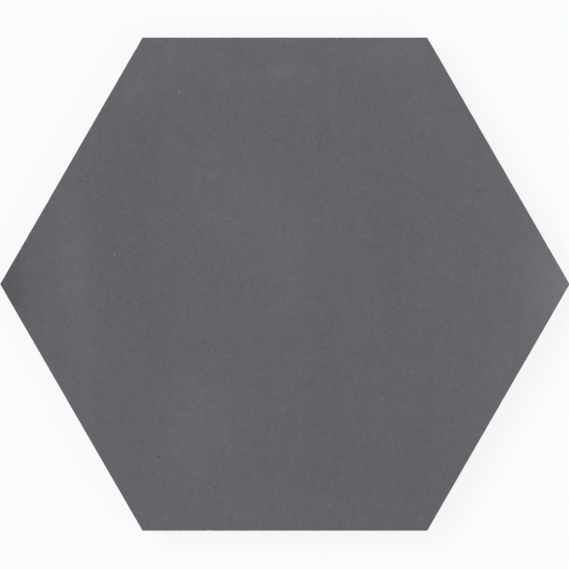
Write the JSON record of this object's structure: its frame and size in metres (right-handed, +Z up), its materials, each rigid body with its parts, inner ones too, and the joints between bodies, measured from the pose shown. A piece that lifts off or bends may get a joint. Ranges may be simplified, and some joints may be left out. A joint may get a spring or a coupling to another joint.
{
  "type": "hexagonal floor tile",
  "caption": "Regular hexagonal floor tile of dark grey pressed cement, with a plain matt face, crisp arrises, slightly drafted sides and a honeycomb-keyed back.",
  "frame": {"origin": "middle of the back, on the surface that the tile lies on", "axes": "+Z up out of the wearing face; two opposite corners along X; two opposite sides face +Y and -Y"},
  "size_m": [0.2308, 0.2, 0.016],
  "materials": {
    "pigmented_cement": "matte"
  },
  "bodies": {
    "root": {"hexagon_tile": "pigmented_cement"}
  },
  "joints": []
}
